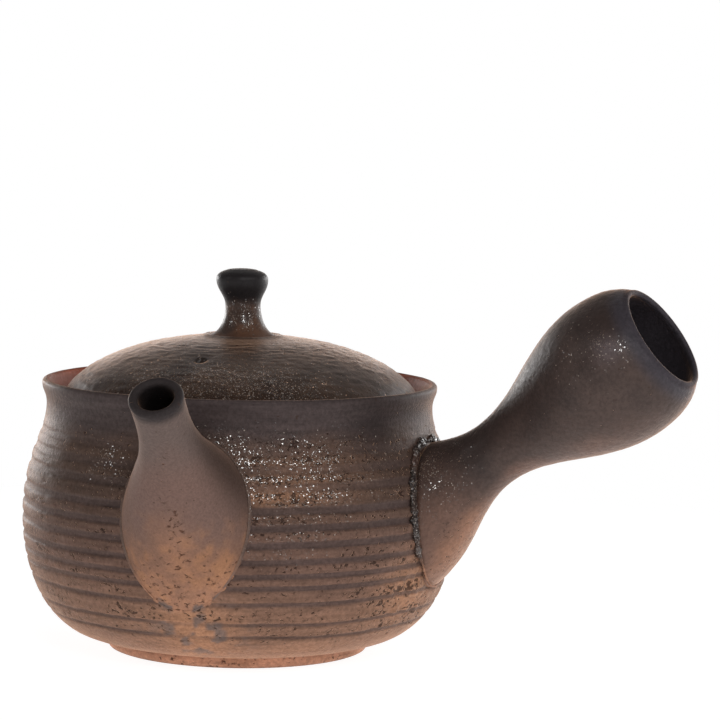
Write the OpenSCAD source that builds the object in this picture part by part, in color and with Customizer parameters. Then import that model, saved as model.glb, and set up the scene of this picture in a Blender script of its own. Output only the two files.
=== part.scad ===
// Kyusu: a side-handled stoneware teapot with a loose lid.
// Millimetres. The origin is the centre of the foot's underside, +Z is up,
// the handle points along +X and the spout towards -Y.

/* [Body] */
// widest diameter of the bowl
belly_d = 110; // [100:1:124]
// height of the widest place above the table
belly_z = 33; // [31:0.5:36]
// height of the rim above the table
body_h = 67.8; // [65:0.2:72]
// diameter of the neck below the rim
neck_d = 97.6; // [94:0.2:101]
// how far the lip flares out past the neck
lip_flare = 1.1; // [0.6:0.1:2]
// thickness of the lip
lip_t = 2; // [1.6:0.1:2.6]
// thickness of the bowl's wall and floor
wall = 3.2; // [2.6:0.1:3.8]

/* [Throwing grooves] */
// depth of the throwing grooves
groove_depth = 0.5; // [0.2:0.05:0.8]
// width of a throwing groove
groove_w = 2; // [1.2:0.1:2.4]

/* [Foot] */
// outer diameter of the foot where it stands
foot_d = 65.6; // [60:0.2:72]
// height of the foot
foot_h = 3.2; // [2.4:0.1:4]
// width of the foot ring
foot_w = 7; // [4:0.5:10]
// step from the foot to the underside of the bowl
foot_step = 2.5; // [1.5:0.1:4]

/* [Lid] */
// depth of the lid's seat below the rim
seat_depth = 5; // [4:0.1:5.5]
// gap between the lid's edge and the wall around it
lid_gap = 0.8; // [0.4:0.1:1.2]
// height of the dome above the seat
dome_h = 16; // [13:0.5:19]
// thickness of the lid
lid_t = 3.2; // [2.4:0.1:4]
// thickness of the lid at its edge
lid_edge_t = 1.8; // [1.2:0.1:2.4]
// width of the ledge that carries the lid
seat_w = 4.4; // [3.4:0.1:5.4]
// thickness of the ledge at its edge
gallery_t = 2.4; // [1.8:0.1:3]
// gap between the lid's flange and the ledge
flange_gap = 0.8; // [0.4:0.1:1.2]
// thickness of the flange
flange_t = 3; // [2.2:0.1:4]
// depth of the flange
flange_h = 5.5; // [4:0.5:8]
// diameter of the vent hole
vent_d = 3; // [2:0.1:4]
// distance of the vent hole from the lid's axis
vent_r = 29; // [20:0.5:31]
// bearing of the vent hole
vent_azimuth = -82; // [-180:1:180]

/* [Knob] */
// diameter of the knob's head
knob_d = 13.2; // [12:0.2:18]
// diameter of the knob's neck
knob_neck_d = 9; // [7:0.1:11]
// diameter of the knob's foot on the lid
knob_foot_d = 19; // [16:0.5:24]
// height of the knob
knob_h = 17.2; // [13:0.2:22]

/* [Spout] */
// bearing of the spout
spout_azimuth = -74.5; // [-100:0.5:-70]
// sideways shift of the spout's axis, towards the handle
spout_shift = -1.2; // [-3:0.1:3]
// rise of the spout's axis above level
spout_rise = 42; // [39:0.5:46]
// height at which the spout's axis leaves the wall
spout_z = 45.6; // [44:0.2:47]
// length of the spout from the wall to its tip
spout_len = 39; // [35:0.5:45]
// how much flatter than square the tip is cut
tip_tilt = 9; // [0:0.5:14]
// bevel around the outside of the tip
tip_bevel = 1; // [0.4:0.1:1.4]
// outer diameter of the tip
tip_d = 12.8; // [11.6:0.2:15]
// outer diameter of the spout's widest part
spout_base_d = 40.4; // [37:0.2:42]
// diameter of the straight bore behind the tip
spout_bore_d = 8.4; // [7:0.2:9]
// length of the straight bore
spout_bore_len = 12; // [9:0.5:14]
// thickness of the spout's wall below the bore
spout_wall = 2.4; // [1.6:0.1:2.6]

/* [Strainer] */
// height of the tea hole through the wall
tea_z = 40; // [37:0.5:42]
// diameter of the tea hole
tea_d = 18; // [14:0.5:20]
// outer radius of the strainer's dome
strainer_r = 14; // [13:0.5:16]
// thickness of the strainer
strainer_t = 2; // [1.5:0.1:2.5]
// diameter of one strainer hole
strainer_hole_d = 1.6; // [1.2:0.1:2]
// rings of holes around the middle one
strainer_rings = 4; // [2:1:4]

/* [Handle] */
// rise of the handle's axis above level
handle_rise = 36; // [33:0.5:39]
// height at which the handle's axis leaves the wall
handle_z = 43.3; // [41:0.1:45]
// sideways shift of the handle's axis, away from the spout
handle_shift = 5.5; // [0:0.5:8]
// length of the handle from the wall to its open end
handle_len = 70; // [62:0.5:84]
// outer diameter of the handle's foot
handle_base_d = 37.6; // [34:0.2:38.4]
// outer diameter of the handle's neck
handle_neck_d = 16.4; // [15:0.2:20]
// outer diameter of the handle's bulb
handle_bulb_d = 36.8; // [32:0.2:40]
// inner diameter of the handle's open end
handle_mouth_d = 24.4; // [20:0.2:26]
// thickness of the handle's wall
handle_wall = 2.4; // [1.8:0.1:3]
// thickness of the edge at the handle's open end
handle_edge_t = 1.6; // [1.2:0.1:2]

/* [Seams] */
// how far the slip bead stands out around the handle
handle_bead = 1.2; // [0.8:0.1:1.6]
// how far the slip bead stands out around the spout
spout_bead = 0.5; // [0.3:0.1:0.8]

/* [Hidden] */
$fn = 96;

belly_r = belly_d / 2;
neck_r = neck_d / 2;
foot_r = foot_d / 2;
lip_r = neck_r + lip_flare;
lip_z = body_h - lip_t / 2;
seat_z = body_h - seat_depth;
neck_z = seat_z - lip_t / 2;
base_r = foot_r + foot_step;
foot_edge = 0.1 * foot_w;
mouth_r = neck_r - wall;
lid_r = mouth_r - lid_gap;
gallery_r = mouth_r - seat_w;
flange_r = gallery_r - flange_gap;
hollow_r = flange_r - flange_t;
dome_z = seat_z + dome_h;

// heights of the throwing grooves, as shares of the height from foot to neck
groove_shares = [0.12, 0.18, 0.27, 0.34, 0.39, 0.45, 0.52, 0.59, 0.66, 0.75, 0.82];

// a smooth curve through two end points with two handles
function curve(a, b, c, d, n) =
    [for (i = [0:n]) let (t = i / n, s = 1 - t)
        s * s * s * a + 3 * s * s * t * b + 3 * s * t * t * c + t * t * t * d];
// a path without its first point, to join it onto another
function rest(path) = [for (i = [1:len(path) - 1]) path[i]];
// a path moved sideways: to its left when the distance is positive
function beside(path, gap) =
    [for (i = [0:len(path) - 1])
        let (a = path[max(i - 1, 0)],
             b = path[min(i + 1, len(path) - 1)],
             along = (b - a) / norm(b - a))
        path[i] + gap * [-along[1], along[0]]];
// half a turn from one side of a rounded edge to the other
function round_edge(middle, r, n) =
    [for (i = [0:n]) middle + r * [cos(180 * i / n), sin(180 * i / n)]];
// a path turned end for end
function reverse(path) = [for (i = [len(path) - 1:-1:0]) path[i]];

// the bowl's outside from the foot to the neck, without grooves
low = belly_z - foot_h;
high = neck_z - belly_z;
wall_path = concat(
    curve([base_r, foot_h],
          [base_r + 0.73 * (belly_r - base_r), foot_h + 0.02 * low],
          [belly_r, belly_z - 0.4 * low],
          [belly_r, belly_z], 14),
    rest(curve([belly_r, belly_z],
               [belly_r, belly_z + 0.55 * high],
               [neck_r, neck_z - 0.27 * high],
               [neck_r, neck_z], 12)));
// the flare from the neck to the lip
lip_path = curve([neck_r, neck_z],
                 [neck_r, neck_z + 0.5 * (lip_z - neck_z)],
                 [lip_r, lip_z - 0.4 * (lip_z - neck_z)],
                 [lip_r, lip_z], 6);
lip_edge = round_edge([lip_r - lip_t / 2, lip_z], lip_t / 2, 8);
wall_by_height = [for (p = wall_path) [p[1], p[0]]];

// radius of the bowl's outside at a height
function wall_r(z) = lookup(z, wall_by_height);
// the same outside with its grooves: each goes in from one edge and comes out at the other
groove_heights = [for (share = groove_shares) foot_h + share * (neck_z - foot_h)];
first_groove = groove_heights[0] - groove_w / 2;
last_groove = groove_heights[len(groove_heights) - 1] + groove_w / 2;
ridged_path = concat(
    [for (p = wall_path) if (p[1] < first_groove) p],
    [for (z = groove_heights, side = [-1:1])
        [wall_r(z + side * groove_w / 2) - groove_depth * (1 - abs(side)), z + side * groove_w / 2]],
    [for (p = wall_path) if (p[1] > last_groove) p]);
inner_path = beside(wall_path, wall);
inner_lip = [lip_r - lip_t, lip_z];

module turn(points) rotate_extrude() polygon(points);

// everything inside the bowl's outside, without grooves
module bowl_solid(grow) {
    side = beside(concat(wall_path, rest(lip_path)), -grow);
    turn(concat([[0, foot_h - grow]], [[side[0][0], foot_h - grow]], side,
                [[lip_r + grow, body_h], [0, body_h]]));
}

// the room inside the bowl, up to and past the rim
module bowl_room()
    turn(concat([[0, inner_path[0][1]]], inner_path, [inner_lip],
                [[inner_lip[0], body_h + lip_t], [0, body_h + lip_t]]));

// places a turned piece on the spout's axis, at the wall
module on_spout()
    rotate([0, 0, spout_azimuth])
        translate([wall_r(spout_z), spout_shift, spout_z])
            rotate([0, 90 - spout_rise, 0])
                children();

// places a turned piece on the handle's axis, at the wall
module on_handle()
    translate([wall_r(handle_z), handle_shift, handle_z])
        rotate([0, 90 - handle_rise, 0])
            children();

module on_tea_hole()
    rotate([0, 0, spout_azimuth])
        translate([wall_r(tea_z) - wall / 2, 0, tea_z])
            children();

// the spout's outside as a path from its buried end to its tip
spout_deep = 20;
spout_end = 28;
tip_r = tip_d / 2;
spout_base_r = spout_base_d / 2;
bore_r = spout_bore_d / 2;
spout_reach = spout_len + spout_deep;
bore_z = spout_len - spout_bore_len;
spout_path = concat(
    [[spout_base_r, -spout_end]],
    curve([spout_base_r, -spout_deep],
          [0.594 * spout_base_r, -spout_deep + 0.6 * spout_reach],
          [0.83 * tip_r, -spout_deep + 0.51 * spout_reach],
          [tip_r, spout_len], 14),
    [[tip_r, spout_len + tip_r]]);

module spout_solid(grow)
    turn(concat([[0, -spout_end]], beside(spout_path, -grow), [[0, spout_len + tip_r]]));

// the spout's inside: wide at the wall, then a straight bore to the tip
spout_in = [for (p = spout_path)
    if (p[1] < bore_z - 1 && p[0] - spout_wall > bore_r) [p[0] - spout_wall, p[1]]];

module spout_room()
    turn(concat([[0, -spout_end - 1], [spout_in[0][0], -spout_end - 1]], rest(spout_in),
                [[bore_r, bore_z], [bore_r, spout_len + tip_d], [0, spout_len + tip_d]]));

// the handle's outside as a path from its buried end to its open end
handle_deep = 20;
handle_end = 26;
handle_base_r = handle_base_d / 2;
handle_neck_r = handle_neck_d / 2;
handle_bulb_r = handle_bulb_d / 2;
handle_mouth_r = handle_mouth_d / 2;
neck_at = 0.25 * handle_len;
bulb_at = 0.79 * handle_len;
edge_at = handle_len - handle_edge_t / 2;
function handle_path(r_base, r_neck, r_bulb, r_mouth, mouth_bulge) = concat(
    [[r_base, -handle_end]],
    curve([r_base, -handle_deep],
          [r_base, -0.1 * handle_deep],
          [r_neck, 0.2 * neck_at],
          [r_neck, neck_at], 12),
    rest(curve([r_neck, neck_at],
               [r_neck, neck_at + 0.345 * (bulb_at - neck_at)],
               [r_bulb, bulb_at - 0.37 * (bulb_at - neck_at)],
               [r_bulb, bulb_at], 10)),
    rest(curve([r_bulb, bulb_at],
               [r_bulb, bulb_at + 0.55 * (edge_at - bulb_at)],
               [r_mouth + mouth_bulge, edge_at - 0.15 * (edge_at - bulb_at)],
               [r_mouth, edge_at], 8)));
handle_out = handle_path(handle_base_r, handle_neck_r, handle_bulb_r,
                         handle_mouth_r + handle_edge_t, 2.6);
handle_in = handle_path(handle_base_r - handle_wall, handle_neck_r - handle_wall,
                        handle_bulb_r - handle_wall, handle_mouth_r, 2);

module handle_solid(grow)
    turn(concat([[0, -handle_end]], beside(handle_out, -grow), [[0, edge_at]]));

// the bowl with its floor, grooves and rim
module bowl() color("#5b4a41")
    difference() {
        turn(concat([[0, foot_h]], ridged_path, rest(lip_path), rest(lip_edge),
                    reverse(inner_path), [[0, inner_path[0][1]]]));
        on_tea_hole()
            rotate([0, 90, 0])
                cylinder(h = 6 * wall, d = tea_d, center = true);
    }

// the ring the pot stands on
module foot_ring() color("#8a5a3c")
    turn([[foot_r - foot_w, 0], [foot_r, 0], [foot_r + 0.7 * foot_edge, foot_edge],
          [foot_r + foot_edge, foot_h], [foot_r - foot_w - foot_edge, foot_h],
          [foot_r - foot_w - 0.7 * foot_edge, foot_edge]]);

// the ledge that carries the lid
module lid_gallery() color("#6e4a35")
    intersection() {
        turn([[gallery_r, seat_z - gallery_t],
              [belly_r, seat_z - gallery_t - 0.7 * (belly_r - gallery_r)],
              [belly_r, seat_z], [gallery_r, seat_z]]);
        bowl_room();
    }

// the pierced dome over the tea hole
module strainer() color("#7a523a")
    intersection() {
        on_tea_hole()
            difference() {
                sphere(r = strainer_r);
                sphere(r = strainer_r - strainer_t);
                for (ring = [0:strainer_rings])
                    for (i = [0:max(6 * ring, 1) - 1])
                        rotate([360 * i / max(6 * ring, 1), 0, 0])
                            rotate([0, -90 - 13 * ring, 0])
                                translate([0, 0, strainer_r - 2 * strainer_t])
                                    cylinder(h = 3 * strainer_t, d = strainer_hole_d);
            }
        bowl_room();
    }

// the pouring spout, cut to the wall and across its tip
module spout() color("#80604f")
    difference() {
        on_spout() spout_solid(0);
        on_spout() spout_room();
        on_spout()
            translate([0, 0, spout_len])
                rotate([0, -tip_tilt, 0]) {
                    translate([-tip_d, -tip_d, 0])
                        cube(2 * tip_d);
                    turn([[tip_r - tip_bevel, 0], [tip_r + 1, -tip_bevel - 1], [tip_r + 1, 0]]);
                }
        bowl_solid(0);
    }

// the slip bead around the spout
module spout_seam() color("#4f3f37")
    difference() {
        intersection() {
            on_spout() spout_solid(spout_bead);
            bowl_solid(spout_bead);
        }
        on_spout() spout_solid(0);
        bowl_solid(0);
    }

// the hollow handle, cut to the wall
module handle() color("#4a3a32")
    difference() {
        on_handle()
            turn(concat(handle_out,
                        rest(round_edge([handle_mouth_r + handle_edge_t / 2, edge_at],
                                        handle_edge_t / 2, 6)),
                        rest(reverse(handle_in))));
        bowl_solid(0);
    }

// the slip bead around the handle
module handle_seam() color("#57463c")
    difference() {
        intersection() {
            on_handle() handle_solid(handle_bead);
            bowl_solid(handle_bead);
        }
        on_handle() handle_solid(0);
        bowl_solid(0);
    }

// the lid's outside from the knob to the edge
knob_foot_r = knob_foot_d / 2;
edge_z = seat_z + lid_edge_t;
lid_round = lid_edge_t / 3;
dome_path = curve([knob_foot_r, dome_z],
                  [0.58 * lid_r, dome_z - 0.025 * dome_h],
                  [0.91 * lid_r, dome_z - 0.42 * dome_h],
                  [lid_r, edge_z], 16);
under_path = [for (p = beside(dome_path, -lid_t)) if (p[0] < hollow_r && p[1] > seat_z) p];

// the lid, with its vent hole
module lid_dome() color("#4d3a30")
    difference() {
        turn(concat([[0, dome_z]], dome_path, [[lid_r, seat_z + lid_round], [lid_r - lid_round, seat_z]],
                    [[hollow_r, seat_z], [hollow_r, under_path[len(under_path) - 1][1]]],
                    reverse(under_path), [[0, dome_z - lid_t]]));
        rotate([0, 0, vent_azimuth])
            translate([vent_r, 0, seat_z])
                cylinder(h = 1.1 * dome_h, d = vent_d);
    }

// the ring that keeps the lid in the mouth
flange_z = seat_z - flange_h;
flange_round = flange_t / 5;
module lid_flange() color("#7a5238")
    turn([[hollow_r, flange_z + flange_round], [hollow_r + flange_round, flange_z],
          [flange_r - flange_round, flange_z], [flange_r, flange_z + flange_round],
          [flange_r, seat_z], [hollow_r, seat_z]]);

// the knob
knob_r = knob_d / 2;
knob_neck_r = knob_neck_d / 2;
knob_path = concat(
    curve([knob_foot_r, 0],
          [0.63 * knob_foot_r, 0.03 * knob_h],
          [knob_neck_r, 0.24 * knob_h],
          [knob_neck_r, 0.45 * knob_h], 10),
    rest(curve([knob_neck_r, 0.45 * knob_h],
               [knob_neck_r, 0.62 * knob_h],
               [knob_r, 0.67 * knob_h],
               [knob_r, 0.84 * knob_h], 8)),
    rest(curve([knob_r, 0.84 * knob_h],
               [knob_r, 0.95 * knob_h],
               [0.62 * knob_r, knob_h],
               [0, knob_h], 8)));

module lid_knob() color("#2c2624")
    translate([0, 0, dome_z])
        turn(concat([[0, 0]], knob_path));

bowl();
foot_ring();
lid_gallery();
strainer();
spout();
spout_seam();
handle();
handle_seam();
lid_dome();
lid_flange();
lid_knob();
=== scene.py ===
# %% [markdown]
# A small side-handled teapot, thrown on the wheel and wood-fired without glaze.
# The lesson follows the potter: mix the clay, throw the bowl, turn the foot, pull the spout and handle,
# join them, and fit the lid.

# %% Load the frame
import math
from bisect import bisect_left

import bmesh
import bpy
from mathutils import Matrix, Vector, noise
from mathutils.geometry import interpolate_bezier


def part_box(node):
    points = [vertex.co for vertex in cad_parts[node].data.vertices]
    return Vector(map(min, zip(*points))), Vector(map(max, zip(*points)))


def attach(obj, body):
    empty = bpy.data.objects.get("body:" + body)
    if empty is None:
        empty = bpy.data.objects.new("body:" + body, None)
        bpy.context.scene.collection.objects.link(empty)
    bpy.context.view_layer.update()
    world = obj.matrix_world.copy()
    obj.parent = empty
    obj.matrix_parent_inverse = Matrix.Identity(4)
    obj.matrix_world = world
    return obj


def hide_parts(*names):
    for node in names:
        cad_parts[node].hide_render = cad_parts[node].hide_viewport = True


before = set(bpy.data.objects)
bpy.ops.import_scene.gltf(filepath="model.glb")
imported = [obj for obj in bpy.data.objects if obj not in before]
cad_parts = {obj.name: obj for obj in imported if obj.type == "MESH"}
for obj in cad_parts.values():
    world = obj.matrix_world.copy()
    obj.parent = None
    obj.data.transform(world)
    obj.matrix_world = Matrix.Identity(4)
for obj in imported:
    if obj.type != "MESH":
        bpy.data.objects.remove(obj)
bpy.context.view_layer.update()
scene = bpy.context.scene
mm = 0.001

# %% [markdown]
# The pot is a body of revolution, so nearly all of it follows from a few heights and radii.
# They come from the frame's boxes where a box shows them, and are in millimetres, as on a drawing.

# %% Driving sizes in millimetres
bowl_low, bowl_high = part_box("bowl")
belly_r = bowl_high[0] / mm
foot_h = bowl_low[2] / mm
body_h = bowl_high[2] / mm
knob_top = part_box("lid_knob")[1][2] / mm
dome_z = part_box("lid_knob")[0][2] / mm
knob_foot_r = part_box("lid_knob")[1][0] / mm
lid_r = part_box("lid_dome")[1][0] / mm
seat_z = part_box("lid_dome")[0][2] / mm
foot_top_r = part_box("foot_ring")[1][0] / mm
belly_z = 33
neck_r = 48.8
neck_z = seat_z - 1
base_r = foot_top_r + 1.8
wall = 3.2
print("belly radius", round(belly_r, 2), "lid radius", round(lid_r, 2), "height", round(knob_top, 2))

# %% [markdown]
# The camera was worked out from the rims, which are circles of known size.
# The lens is long and the view nearly level, with a heading, a tilt and a small roll.

# %% Camera
bearing = math.radians(28.42)
heading = bearing - math.radians(2.278)
tilt = math.radians(5.236)
roll = math.radians(1.230)
camera_data = bpy.data.cameras.new("long_lens")
camera_data.lens = 148.1
camera_data.sensor_width = 36
camera = bpy.data.objects.new("camera", camera_data)
scene.collection.objects.link(camera)
level = Matrix.Rotation(heading, 4, "Z") @ Matrix.Rotation(math.pi / 2 - tilt, 4, "X")
spot = Matrix.Rotation(bearing, 4, "Z") @ Vector((0, -747.1 * mm, 141.8 * mm))
camera.matrix_world = Matrix.Translation(spot) @ level @ Matrix.Rotation(roll, 4, "Z")
scene.camera = camera
print("camera at", [round(v, 4) for v in spot])

# %% [markdown]
# Every piece starts as a half section: points of radius and height along smooth curves.
# In code, interpolate_bezier gives the points that the editor's Bezier handles would.
# Evenly spaced points keep the quads of the spun mesh even, so small marks show the same everywhere.

# %% Curves and sections
def bend(a, b, c, d, count=24):
    """Points of a smooth curve from a to d, pulled by the handles b and c."""
    return [tuple(p) for p in interpolate_bezier(Vector(a), Vector(b), Vector(c), Vector(d), count)]


def evenly(path, step):
    """The same path with points about one step apart."""
    reach = [0.0]
    for p, q in zip(path, path[1:]):
        reach.append(reach[-1] + math.dist(p, q))
    count = max(2, round(reach[-1] / step))
    out = []
    k = 0
    for i in range(count + 1):
        want = reach[-1] * i / count
        while k < len(path) - 2 and reach[k + 1] < want:
            k += 1
        share = (want - reach[k]) / max(reach[k + 1] - reach[k], 1e-9)
        out.append(tuple(p + (q - p) * share for p, q in zip(path[k], path[k + 1])))
    return out


def beside(path, gap):
    """The path moved sideways by a gap, to its left as it runs."""
    out = []
    for i, (r, z) in enumerate(path):
        before = Vector(path[max(i - 1, 0)])
        along = (Vector(path[min(i + 1, len(path) - 1)]) - before).normalized()
        out.append((r - gap * along.y, z + gap * along.x))
    return out


def half_round(middle, radius, count, start=0, end=180):
    """Points round an edge, from one side of it to the other."""
    turns = [math.radians(start + (end - start) * i / count) for i in range(count + 1)]
    return [(middle[0] + radius * math.cos(t), middle[1] + radius * math.sin(t)) for t in turns]


print("a half round of 1 mm in 0.1 mm steps has", len(evenly(half_round((0, 0), 1, 24), 0.1)), "points")

# %% [markdown]
# A smooth step fades one thing into the next, noise keeps it from looking drawn with a ruler,
# and a soft round patch puts a mark where the flame or a finger left one.

# %% Fades, noise and patches
def reader(path):
    """Reads the radius of a section's path at any height; heights have to rise along it."""
    heights = [z for r, z in path]
    radii = [r for r, z in path]

    def radius_at(z):
        k = min(max(bisect_left(heights, z), 1), len(heights) - 1)
        share = (z - heights[k - 1]) / max(heights[k] - heights[k - 1], 1e-9)
        return radii[k - 1] + (radii[k] - radii[k - 1]) * min(max(share, 0), 1)

    return radius_at


def ease(x, low, high):
    """Goes smoothly from 0 at low to 1 at high, which may lie below low."""
    t = min(max((x - low) / (high - low), 0), 1)
    return t * t * (3 - 2 * t)


def rough(point, size, octaves=2):
    """Cloudy noise about -1 to 1, with lumps about the given size in millimetres."""
    return noise.fractal(Vector(point) / size, 1.0, 2.0, octaves)


def patch(point, middle, spread):
    """A soft patch round a middle, 1 at its heart."""
    return math.exp(-sum(((p - q) / s) ** 2 for p, q, s in zip(point, middle, spread)))


def patches(point, rows):
    """Several soft patches added up; each row is a strength, a middle and a spread."""
    return sum(strength * patch(point, middle, spread) for strength, middle, spread in rows)


print("a patch one spread from its middle has", round(patch((1,), (0,), (1,)), 2), "of its strength")

# %% [markdown]
# Spin turns a half section into a round body, as the wheel does.
# A full spin has to merge its last step with its first, and the points on the axis have to be merged too.

# %% Spinning
def spun(section, steps, closed=False):
    """A round body from a half section of (radius, height) points in millimetres."""
    mesh = bmesh.new()
    mesh.verts.layers.float_color.new("fired")
    mesh.verts.layers.float.new("ash")
    mesh.verts.layers.float.new("coarse")
    verts = [mesh.verts.new((r * mm, 0, z * mm)) for r, z in section]
    pairs = list(zip(verts, verts[1:]))
    if closed:
        pairs.append((verts[-1], verts[0]))
    edges = [mesh.edges.new(pair) for pair in pairs]
    bmesh.ops.spin(mesh, geom=verts + edges, cent=(0, 0, 0), axis=(0, 0, 1),
                   angle=2 * math.pi, steps=steps, use_merge=True)
    bmesh.ops.remove_doubles(mesh, verts=mesh.verts, dist=1e-6)
    bmesh.ops.recalc_face_normals(mesh, faces=mesh.faces)
    mesh.normal_update()
    return mesh


test_disc = spun([(0, 0), (5, 0), (5, 2), (0, 2)], 48)
print("a spun disc 10 mm wide and 2 mm thick holds", round(test_disc.calc_volume() / mm ** 3), "mm3")
test_disc.free()

# %% [markdown]
# The kiln's work is kept on the mesh itself, in three values at each point:
# the colour, which is the fired colour with some painted light and shade in it,
# how much melted ash lies there (below zero, the clay stayed dry and dull),
# and how coarse the clay was torn. A finished piece is then tied to the body that it moves with.

# %% Finishing pieces
def coats(mesh):
    """The three coats painted on a mesh: colour with some painted light and shade, melted ash and coarse
    pits.
    """
    layers = mesh.verts.layers
    return layers.float_color["fired"], layers.float["ash"], layers.float["coarse"]


def finish_piece(mesh, name, body, nodes, material):
    """Makes an object of a mesh, gives it its finish and ties it to the frame."""
    data = bpy.data.meshes.new(name)
    bmesh.ops.recalc_face_normals(mesh, faces=mesh.faces)
    for face in mesh.faces:
        face.smooth = True
    open_edges = sum(1 for edge in mesh.edges if not edge.is_manifold)
    mesh.to_mesh(data)
    mesh.free()
    piece = bpy.data.objects.new(name, data)
    scene.collection.objects.link(piece)
    data.materials.append(material)
    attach(piece, body)
    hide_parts(*nodes)
    triangles = sum(len(p.vertices) - 2 for p in data.polygons)
    print(name, "has", triangles, "triangles and", open_edges, "open edges")


print("the frame has", len(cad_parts), "solids to dress")

# %% [markdown]
# Materials are built from nodes, and one small helper adds a node with its settings and links.
# Colours are written as the hex values a screen shows, and turned into linear light.
# Object coordinates are in metres here, so a pattern's scale is one over its real size.

# %% Node helper
def clay(code):
    """An sRGB hex value as a linear colour."""
    parts = [int(code[i:i + 2], 16) / 255 for i in (1, 3, 5)]
    return Vector([c / 12.92 if c <= 0.04045 else ((c + 0.055) / 1.055) ** 2.4 for c in parts] + [1.0])


def per_size(size):
    """The texture scale whose lumps are about this many millimetres across."""
    return 1 / (size * mm)


def fill(tree, node, inputs):
    """Fills a node's inputs with plain values, sockets, or nodes that give their first open socket."""
    for key, value in inputs.items():
        if isinstance(value, bpy.types.Node):
            value = next(socket for socket in value.outputs if socket.enabled)
        if isinstance(value, bpy.types.NodeSocket):
            tree.links.new(value, node.inputs[key])
        else:
            node.inputs[key].default_value = value


def add(tree, kind, inputs=None, **settings):
    """Adds a node with its settings and its inputs."""
    made = tree.nodes.new("ShaderNode" + kind)
    for key, value in settings.items():
        setattr(made, key, value)
    fill(tree, made, inputs or {})
    return made


print("a mid grey of #808080 is", round(clay("#808080")[0], 3), "in linear light")

# %% [markdown]
# All the clay is one iron-rich stoneware, fired bare in a wood kiln, so its finishes share one recipe.
# The broad colours of flame and ash, and some painted light and shade, are painted on each mesh
# as it is shaped, and read here as attributes.
# The recipe adds what is finer than the mesh, layer by layer. Sand lightens and darkens the clay,
# and turning leaves level streaks. A piece that has no painted colours gets soft clouds of two instead.

# %% Clouds, grain and streaks
cloud_size = 12
streak_size = 14
streak_flat = 14.0


def painted(tree, place, bare):
    """The colour that the kiln painted on the mesh, or soft clouds of two bare colours."""
    if not bare:
        return add(tree, "Attribute", attribute_name="fired")
    clouds = add(tree, "TexNoise", {"Vector": place, "Scale": per_size(cloud_size), "Detail": 3.0})
    share = add(tree, "MapRange", {"Value": clouds, 1: 0.35, 2: 0.65})
    return add(tree, "Mix", {0: share, 6: clay(bare[0]), 7: clay(bare[1])}, data_type="RGBA")


def grained(tree, place, colour, grain_size, tone, streak):
    """Clay with sandy grain and level turning streaks: its colour, and the grain itself."""
    grain = add(tree, "TexNoise", {"Vector": place, "Scale": per_size(grain_size),
                                   "Detail": 4.0, "Roughness": 0.65})
    light = add(tree, "MapRange", {"Value": grain, 1: 0.36, 2: 0.64, 3: 1 - tone, 4: 1 + tone})
    sandy = add(tree, "VectorMath", {0: colour, "Scale": light}, operation="SCALE")
    flat_place = add(tree, "Mapping", {"Vector": place, "Scale": (1.0, 1.0, streak_flat)})
    streaks = add(tree, "TexNoise", {"Vector": flat_place, "Scale": per_size(streak_size), "Detail": 3.0})
    band = add(tree, "MapRange", {"Value": streaks, 1: 0.3, 2: 0.7, 3: 1 - streak, 4: 1 + streak})
    return add(tree, "VectorMath", {0: sandy, "Scale": band}, operation="SCALE"), grain


print("turning streaks are", streak_size, "mm long and", streak_size / streak_flat, "mm high")

# %% [markdown]
# Iron in the clay burns out as brown specks, and where the tool tore coarse clay there are dark pits.
# Both are noise with a threshold: the coarser the clay, the lower the threshold, and the more of them show.

# %% Specks and pits
speck_size = 1.2
pit_size = 1.3


def pitted(tree, place, colour, coarse, pit_code):
    """Clay with iron specks, and pits torn open where it is coarse: its colour, and the pits."""
    iron = add(tree, "TexNoise", {"Vector": place, "Scale": per_size(speck_size), "Detail": 3.0})
    more = add(tree, "Math", {0: coarse, 1: 0.06, 2: iron}, operation="MULTIPLY_ADD")
    speck = add(tree, "MapRange", {"Value": more, 1: 0.67, 2: 0.74, 3: 0.0, 4: 0.6})
    specked = add(tree, "Mix", {0: speck, 6: colour, 7: clay("#38271f")}, data_type="RGBA")
    wide_place = add(tree, "Mapping", {"Vector": place, "Scale": (1.0, 1.0, 1.3)})
    torn = add(tree, "TexNoise", {"Vector": wide_place, "Scale": per_size(pit_size),
                                  "Detail": 2.0, "Roughness": 0.6})
    edge = add(tree, "Math", {0: coarse, 1: -0.2, 2: 0.74}, operation="MULTIPLY_ADD")
    over = add(tree, "Math", {0: torn, 1: edge}, operation="SUBTRACT")
    pit = add(tree, "MapRange", {"Value": over, 1: 0.0, 2: 0.07})
    shade = add(tree, "Math", {0: pit, 1: 0.8}, operation="MULTIPLY")
    return add(tree, "Mix", {0: shade, 6: specked, 7: clay(pit_code)}, data_type="RGBA"), pit


print("pits come from noise of", pit_size, "mm and specks from noise of", speck_size, "mm")

# %% [markdown]
# Flying ash melts into tiny drops of glass, and each one faces its own way, so only some catch a lamp.
# Noise would draw wiry glints. Voronoi cells give round drops, and a random value in each cell
# says whether its drop is there, how wide and pale it is, and how it leans.
# A pale drop is partly pale ash and partly a painted glint, which shows under any lamp.

# %% Drops of melted ash
drop_size = 0.34
drop_lean = 0.15


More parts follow.
